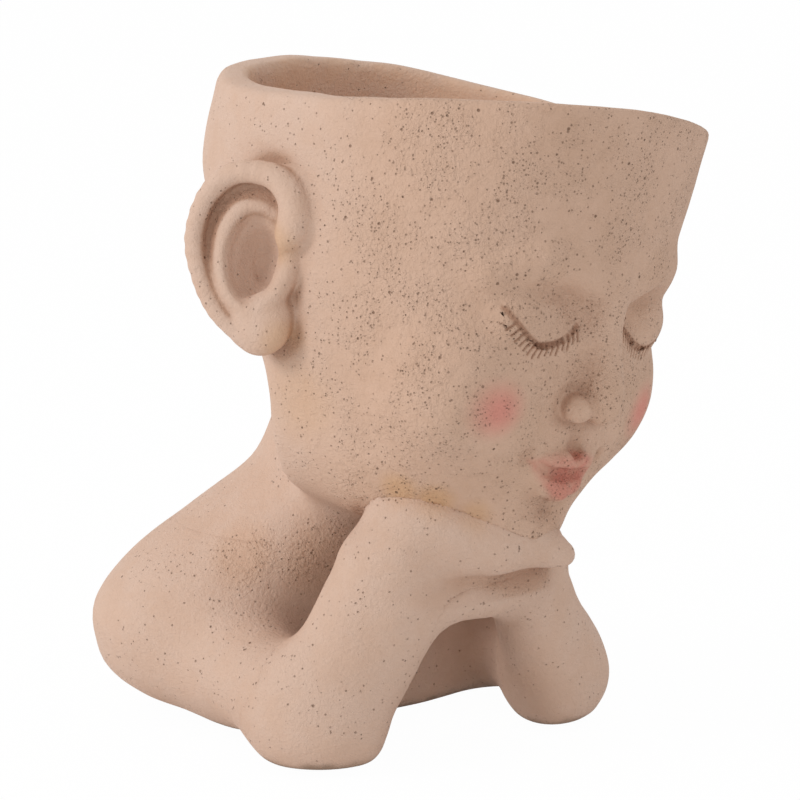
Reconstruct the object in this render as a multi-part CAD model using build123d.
from build123d import *
import os
from math import asin, cos, radians, sin

# Head planter: a hollow head, open at the top for soil, that rests its chin on two folded hands
# over a hollow bust. Four castings are bonded together, the pot drains through a hole with a
# rubber plug, and the whole figure stands on four small pads. Millimetres and degrees.
# The figure looks along -Y, its own right hand is at -X, and +Z is up.

# Head: an egg that leans on the hands, with its own axes through head_side, head_set, head_lift
head_width = 144.0
head_front = 81.0
head_back = 79.0
head_height = 157.0
head_below = 80.0          # from the head's centre down to its lowest section
head_side = 6.0
head_set = 14.0
head_lift = 150.0
head_nod = 10.0
head_lean = 9.0
head_turn = 16.0
head_wall = 10.0

# Mouth of the pot: the arched line where the egg is cut off
mouth_height = 211.0
mouth_bow = 680.0
mouth_fall = 5.7           # degrees, down towards the side that faces mouth_compass
mouth_dip = 2.9            # degrees, down towards the back of the same line
mouth_compass = -36.0

# Pot floor and drain
floor_height = 104.0
floor_thickness = 12.0
drain_side = -1.0
drain_set = 25.5
drain_diameter = 12.0

# Nose and ears, placed in the head's own axes
nose_reach = 5.0
nose_length = 34.0
nose_top = 6.0
nose_bridge = 5.0
nose_tip = 8.0
ear_height = 60.0
ear_width = 40.0
ear_thickness = 9.0
ear_rise = -2.0
ear_set = 5.0
ear_outset = 1.0
ear_sweep = 25.0
ear_tilt = 12.0
ear_bowl = 24.0
ear_bowl_depth = 5.0

# Bust: shoulders and neck, open underneath
bust_width = 162.0
bust_front = 45.0
bust_back = 51.0
bust_set = 66.0
bust_height = 64.0         # up to the collar, where the neck of the head casting stands
bust_wall = 9.0
spigot_depth = 6.0
spigot_wall = 3.0

# Neck, part of the head casting: it leans forward from the collar into the head
collar_radius = 40.0
collar_set = 54.0
neck_radius = 29.0
neck_height = 46.0
neck_reach = 25.0          # how much further forward its top stands

# Arms
shoulder_side = 56.0
shoulder_set = 62.0
shoulder_lift = 33.0
shoulder_radius = 26.0
elbow_side = 48.0
elbow_set = -9.0
elbow_lift = 18.0
elbow_radius = 22.0
wrist_side = 26.0
wrist_set = -18.0
wrist_lift = 64.0
wrist_radius = 16.0
upper_arm_end = 18.0       # radius of the upper arm where it meets the elbow

# Hands: one size, laid one over the other under the chin
palm_length = 32.0
palm_width = 33.0
palm_thickness = 13.0
finger_length = 30.0
finger_radius = 5.0
fingertip_radius = 3.8
finger_pitch = 8.0
thumb_length = 26.0
thumb_radius = 5.5
right_hand_yaw = -28.0
right_hand_pitch = 3.0
left_hand_yaw = 190.0
left_hand_pitch = 10.0
left_hand_drop = 12.0      # how much lower the left hand starts than the right one

# Plug
plug_cap_diameter = 20.0
plug_cap_height = 3.0
plug_stem_end = 9.0
plug_stem_length = 15.0
plug_tab_diameter = 11.0
plug_tab_thickness = 4.0
plug_tab_hole = 4.5
plug_tab_rise = 3.0        # centre of the tab above the cap's top

# Pads
pad_diameter = 9.0
pad_thickness = 1.5
pad_angle = 50.0           # where the two back pads stand on the bust's rim, from its middle line

# Clearances
glue = 0.2                 # bond line between castings
fit = 0.3                  # plug in its hole, spigot in its collar
overrun = 10.0             # how far a cutting solid runs past what it cuts

# Height, half width, reach forward and reach back of the egg, as shares of its sizes
egg_shares = (
    (0.000, 0.306, 0.617, 0.114), (0.032, 0.430, 0.716, 0.177), (0.089, 0.583, 0.800, 0.278),
    (0.178, 0.736, 0.877, 0.430), (0.287, 0.840, 0.920, 0.633), (0.433, 0.910, 0.940, 0.835),
    (0.624, 0.945, 0.950, 0.960), (0.809, 0.972, 0.975, 0.987), (1.000, 1.000, 1.000, 1.000))

# Height, middle, half width, reach forward and reach back of the bust, below its round collar
bust_shares = (
    (0.000, 1.120, 0.490, 0.710, 0.667), (0.094, 1.075, 0.640, 0.800, 0.804), (0.190, 1.045, 0.800, 0.890, 0.902),
    (0.530, 1.000, 1.000, 0.956, 1.000), (0.810, 0.955, 0.830, 0.880, 0.880))

# Half height of the ear's bowl, as a share of its width
ear_bowl_share = 0.7

# Rounding of a flat oval's edge, as a share of its thickness
edge_share = 0.4

# Reach of the four fingers, index first
finger_reach_shares = (0.90, 1.00, 0.96, 0.80)


def outline(half_width, front, back, middle, height):
    # closed outline of one section: half an ellipse in front and half of another behind
    ahead = EllipticalCenterArc((0, middle), half_width, front, start_angle=180, arc_size=180)
    behind = EllipticalCenterArc((0, middle), half_width, back, start_angle=0, arc_size=180)
    return Pos(0, 0, height) * make_face([ahead, behind])


def head_place():
    turned = Rotation(head_nod, head_lean, head_turn, Extrinsic.XYZ)
    return Location((head_side, head_set, head_lift)) * turned


def egg(grow):
    # the head without its neck, larger all round by grow
    sections = []
    for rise, wide, front, back in egg_shares:
        sections.append(outline(
            head_width / 2 * wide + grow, head_front * front + grow,
            max(head_back * back + grow, head_wall / 4), 0, rise * head_height - head_below))
    return head_place() * loft(sections)


def cavity_egg():
    # the room for soil: the egg less its wall, from the sections that are wide enough for it
    sections = []
    for rise, wide, front, back in egg_shares:
        if head_back * back > 1.5 * head_wall:
            sections.append(outline(
                head_width / 2 * wide - head_wall, head_front * front - head_wall,
                head_back * back - head_wall, 0, rise * head_height - head_below))
    return head_place() * loft(sections)


def torso(grow):
    # the shoulders, from the ground to the collar
    sections = []
    for rise, middle, wide, front, back in bust_shares:
        sections.append(outline(
            bust_width / 2 * wide + grow, bust_front * front + grow,
            bust_back * back + grow, bust_set * middle, rise * bust_height))
    collar = collar_radius + grow
    sections.append(outline(collar, collar, collar, collar_set, bust_height))
    return loft(sections)


def neck(grow):
    # round sections that lean forward from the collar into the head
    foot = Pos(0, collar_set, bust_height) * Circle(collar_radius + grow)
    top = Pos(0, collar_set - neck_reach, bust_height + neck_height) * Circle(neck_radius + grow)
    return loft([foot, top], ruled=True)


def collar_ring(grow, depth):
    # upright cylinder that hangs below the collar: the spigot, its socket and its bore
    hanging = Cylinder(collar_radius + grow, depth, align=(Align.CENTER, Align.CENTER, Align.MAX))
    return Pos(0, collar_set, bust_height) * hanging


def layer(low, high):
    # everything between two heights
    reach = 4 * bust_width
    return Pos(0, 0, (low + high) / 2) * Box(reach, reach, high - low)


def taper(start, end, start_radius, end_radius):
    # round-ended limb between two points, turned in one piece
    start, end = Vector(*start), Vector(*end)
    length = (end - start).length
    slope = asin((start_radius - end_radius) / length)
    low = Vector(start_radius * cos(slope), start_radius * sin(slope))
    high = Vector(end_radius * cos(slope), length + end_radius * sin(slope))
    low_mid, high_mid = (slope - radians(90)) / 2, (slope + radians(90)) / 2
    sides = Curve() + [
        ThreePointArc((0, -start_radius), (start_radius * cos(low_mid), start_radius * sin(low_mid)), low),
        Line(low, high),
        ThreePointArc(high, (end_radius * cos(high_mid), length + end_radius * sin(high_mid)),
                      (0, length + end_radius)),
        Line((0, length + end_radius), (0, -start_radius))]
    turned = revolve(Plane.XZ * make_face(sides), Axis.Z)
    return Plane(origin=start, z_dir=end - start) * turned


def pebble(length, width, thickness, plane):
    # flat oval with round edges, lying in a plane
    oval = extrude(plane * Ellipse(length / 2, width / 2), thickness / 2, both=True)
    return fillet(oval.edges().filter_by(GeomType.ELLIPSE), thickness * edge_share)


def hand(grow, thumb_side):
    # palm down the X axis from the wrist, four fingers beyond it and the thumb at one side
    shape = Pos(palm_length / 2, 0, 0) * pebble(
        palm_length + 2 * grow, palm_width + 2 * grow, palm_thickness + 2 * grow, Plane.XY)
    for i, share in enumerate(finger_reach_shares):
        across = thumb_side * (1.5 - i) * finger_pitch
        root = (palm_length - 2 * finger_radius, across, 0)
        tip = (palm_length + finger_length * share - fingertip_radius, across * fingertip_radius / finger_radius, 0)
        shape += taper(root, tip, finger_radius + grow, fingertip_radius + grow)
    thumb_root = (palm_length / 4, thumb_side * palm_width / 4, 0)
    thumb_tip = (palm_length / 4 + thumb_length, thumb_side * (palm_width / 2 + thumb_radius), 0)
    shape += taper(thumb_root, thumb_tip, thumb_radius + grow, fingertip_radius + grow)
    return shape


def forearm(side, grow):
    elbow = (side * elbow_side, elbow_set, elbow_lift)
    wrist = (side * wrist_side, wrist_set, wrist_lift)
    return taper(elbow, wrist, elbow_radius + grow, wrist_radius + grow)


def right_form(grow):
    turned = Rotation(0, right_hand_pitch, right_hand_yaw, Extrinsic.XYZ)
    return forearm(-1, grow) + Pos(-wrist_side, wrist_set, wrist_lift) * turned * hand(grow, 1)


def left_form(grow):
    turned = Rotation(0, left_hand_pitch, left_hand_yaw, Extrinsic.XYZ)
    lowered = Pos(wrist_side, wrist_set, wrist_lift - left_hand_drop)
    return forearm(1, grow) + lowered * turned * hand(grow, -1)


def upper_arms():
    shape = Part()
    for side in (-1, 1):
        shoulder = (side * shoulder_side, shoulder_set, shoulder_lift)
        elbow = (side * elbow_side, elbow_set + elbow_radius / 2, elbow_lift + pad_thickness)
        shape += taper(shoulder, elbow, shoulder_radius, upper_arm_end)
    return shape


def head_and_neck(grow):
    return egg(grow) + neck(grow)


def mouth_arch():
    # a very wide lying cylinder whose top is the rim's surface
    reach = 4 * head_width
    lying = Rotation(90, 0, 0) * Cylinder(mouth_bow, reach)
    tilted = Rotation(-mouth_dip, mouth_fall, mouth_compass, Extrinsic.XYZ)
    return Pos(head_side, head_set, mouth_height) * tilted * Pos(0, 0, -mouth_bow) * lying


def nose():
    root = (0, nose_reach - head_front * egg_shares[5][2], nose_top)
    tip = (0, -head_front * egg_shares[4][2] - nose_reach / 2, nose_top - nose_length + nose_tip)
    return head_place() * taper(root, tip, nose_bridge, nose_tip)


def ear(side):
    # an oval shell that stands out from the head, with a bowl sunk into its outer face
    shell = pebble(ear_width, ear_height, ear_thickness, Plane.YZ)
    bowl = extrude(Plane.YZ * Ellipse(ear_bowl / 2, ear_bowl * ear_bowl_share), ear_bowl_depth, both=True)
    shell -= Pos(side * ear_thickness / 2, 0, ear_height / 12) * bowl
    turned = Rotation(-ear_tilt, 0, -side * ear_sweep, Extrinsic.XYZ)
    return head_place() * Pos(side * (head_width / 2 - ear_outset), ear_set, ear_rise) * turned * shell


def head_pot():
    bore = -bust_wall - spigot_wall
    shape = (egg(0) & mouth_arch()) + neck(0)
    shape += collar_ring(-bust_wall, spigot_depth)
    shape += ear(-1)
    shape += ear(1)
    shape += nose()
    shape -= cavity_egg() & layer(floor_height, mouth_height + head_height)
    shape -= neck(bore) & layer(0, floor_height - floor_thickness)
    shape -= collar_ring(bore, spigot_depth)
    shape -= Pos(drain_side, drain_set, floor_height) * Cylinder(drain_diameter / 2, 2 * floor_thickness + overrun)
    return shape


def right_arm():
    return (right_form(0) - head_and_neck(glue)) & layer(pad_thickness, mouth_height)


def left_arm():
    return (left_form(0) - head_and_neck(glue) - right_form(glue)) & layer(pad_thickness, mouth_height)


def bust_shell():
    shape = torso(0) & layer(pad_thickness, bust_height)
    shape += upper_arms() & layer(pad_thickness, bust_height)
    shape -= torso(-bust_wall)
    shape -= collar_ring(fit - bust_wall, spigot_depth + fit)
    shape -= forearm(-1, glue)
    shape -= forearm(1, glue)
    return shape


def drain_plug():
    # tapered stem in the hole, a cap on the pot's floor and a ring to pull it by
    stem = Cone(plug_stem_end / 2, drain_diameter / 2 - fit, plug_stem_length,
                align=(Align.CENTER, Align.CENTER, Align.MAX))
    cap = Cylinder(plug_cap_diameter / 2, plug_cap_height, align=(Align.CENTER, Align.CENTER, Align.MIN))
    tab = Cylinder(plug_tab_diameter / 2, plug_tab_thickness) - Cylinder(plug_tab_hole / 2, plug_tab_thickness)
    tab = Pos(0, 0, plug_cap_height + plug_tab_rise) * Rotation(90, 0, 0) * tab
    tab -= Pos(0, 0, -plug_tab_diameter) * Cylinder(plug_tab_diameter, 2 * plug_tab_diameter)
    return Pos(drain_side, drain_set, floor_height) * (stem + cap + tab)


def pads():
    # one under each elbow and two under the back of the bust's open rim
    places = {"pad_right_elbow": (-elbow_side, elbow_set), "pad_left_elbow": (elbow_side, elbow_set)}
    _, middle, wide, _, back = bust_shares[0]
    for name, side in (("pad_right_back", -1), ("pad_left_back", 1)):
        across = sin(radians(pad_angle)) * (bust_width / 2 * wide - bust_wall / 2)
        along = cos(radians(pad_angle)) * (bust_back * back - bust_wall / 2)
        places[name] = (side * across, bust_set * middle + along)
    disc = Cylinder(pad_diameter / 2, pad_thickness, align=(Align.CENTER, Align.CENTER, Align.MIN))
    return {name: Pos(x, y, 0) * disc for name, (x, y) in places.items()}


nodes = {
    "head_pot": head_pot(), "bust_shell": bust_shell(), "right_arm": right_arm(), "left_arm": left_arm(),
    "drain_plug": drain_plug(), **pads()}

# The figure is moved so that the middle of its box stands on the origin
box = Compound(children=[Part(node.wrapped) for node in nodes.values()]).bounding_box()
centred = Pos(-(box.min.X + box.max.X) / 2, -(box.min.Y + box.max.Y) / 2, -box.min.Z)
print("moved by", centred.position)

os.makedirs("parts", exist_ok=True)
for name, node in nodes.items():
    export_step(centred * node, f"parts/{name}.step")
